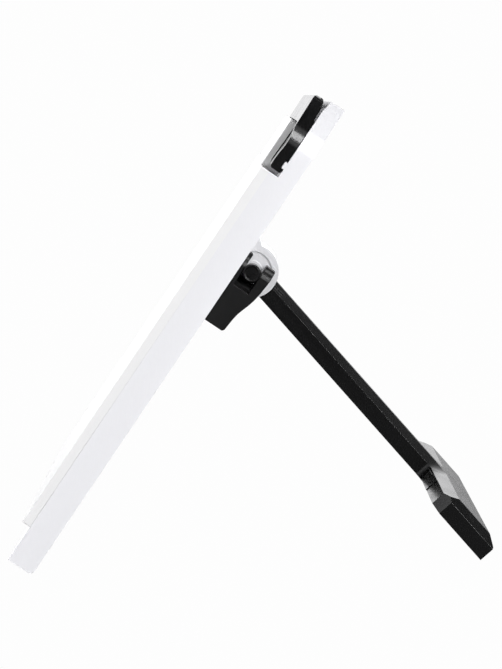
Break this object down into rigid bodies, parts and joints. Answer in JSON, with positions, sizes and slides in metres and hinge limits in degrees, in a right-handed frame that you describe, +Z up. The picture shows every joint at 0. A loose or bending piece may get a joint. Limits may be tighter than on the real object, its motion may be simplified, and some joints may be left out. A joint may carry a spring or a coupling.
{
  "type": "music stand",
  "caption": "Tabletop music stand with a leaning white desk, hinged black rear leg with a T foot, a two-sided leg lock, a rocking page clip and a fold-out page ledge.",
  "frame": {"origin": "on the tabletop under the middle of the stand's footprint", "axes": "+X across the stand to the reader's right, -Y toward the reader, +Z up"},
  "size_m": [0.3, 0.248, 0.2404],
  "materials": {
    "white_shell": "satin moulded ABS",
    "black_part": "satin moulded nylon",
    "steel_part": "zinc plated",
    "rubber_part": "matt"
  },
  "bodies": {
    "desk": {"casing": "white_shell", "front_board": "white_shell", "back_cover": "white_shell", "cover_screws": "steel_part", "desk_feet": "rubber_part", "hinge_lug_left": "white_shell", "hinge_lug_right": "white_shell", "lug_screws": "steel_part", "axle": "steel_part", "pin_cap_left": "black_part", "pin_cap_right": "black_part", "clip_pins": "steel_part", "ledge_pins": "steel_part"},
    "leg": {"leg_shell": "black_part", "leg_underplate": "black_part", "ratchet_ring": "steel_part", "leg_bushings": "steel_part", "hinge_washers": "steel_part", "foot_shoe": "black_part", "foot_sole": "black_part", "foot_screws": "steel_part", "foot_pads": "rubber_part"},
    "leg_lock": {"lock_fork_left": "black_part", "lock_fork_right": "black_part", "lock_yoke": "black_part", "lock_springs": "steel_part"},
    "page_clip": {"page_clip": "black_part", "jaw_pads": "rubber_part", "clip_springs": "steel_part"},
    "page_ledge": {"page_ledge": "white_shell", "ledge_grip": "rubber_part"}
  },
  "joints": [
    {"name": "leg_fold", "type": "hinge", "parent": "desk", "child": "leg", "pos_m": [0, -0.00101, 0.14442], "axis": [1, 0, 0], "range_deg": [-75, 12]},
    {"name": "lock_slide", "type": "slide", "parent": "desk", "child": "leg_lock", "axis": [0, -0.5592, -0.829], "range_m": [0, 0.009], "stiffness_N_per_m": 300, "springref_m": -0.005, "deforming": ["lock_springs"]},
    {"name": "clip_rock", "type": "hinge", "parent": "desk", "child": "page_clip", "pos_m": [0, 0.02701, 0.22744], "axis": [-1, 0, 0], "range_deg": [0, 7], "stiffness_Nm_per_rad": 0.6, "springref_deg": -11.46, "deforming": ["clip_springs"]},
    {"name": "ledge_fold", "type": "hinge", "parent": "desk", "child": "page_ledge", "pos_m": [0, -0.11937, 0.00774], "axis": [1, 0, 0], "range_deg": [0, 90]}
  ]
}
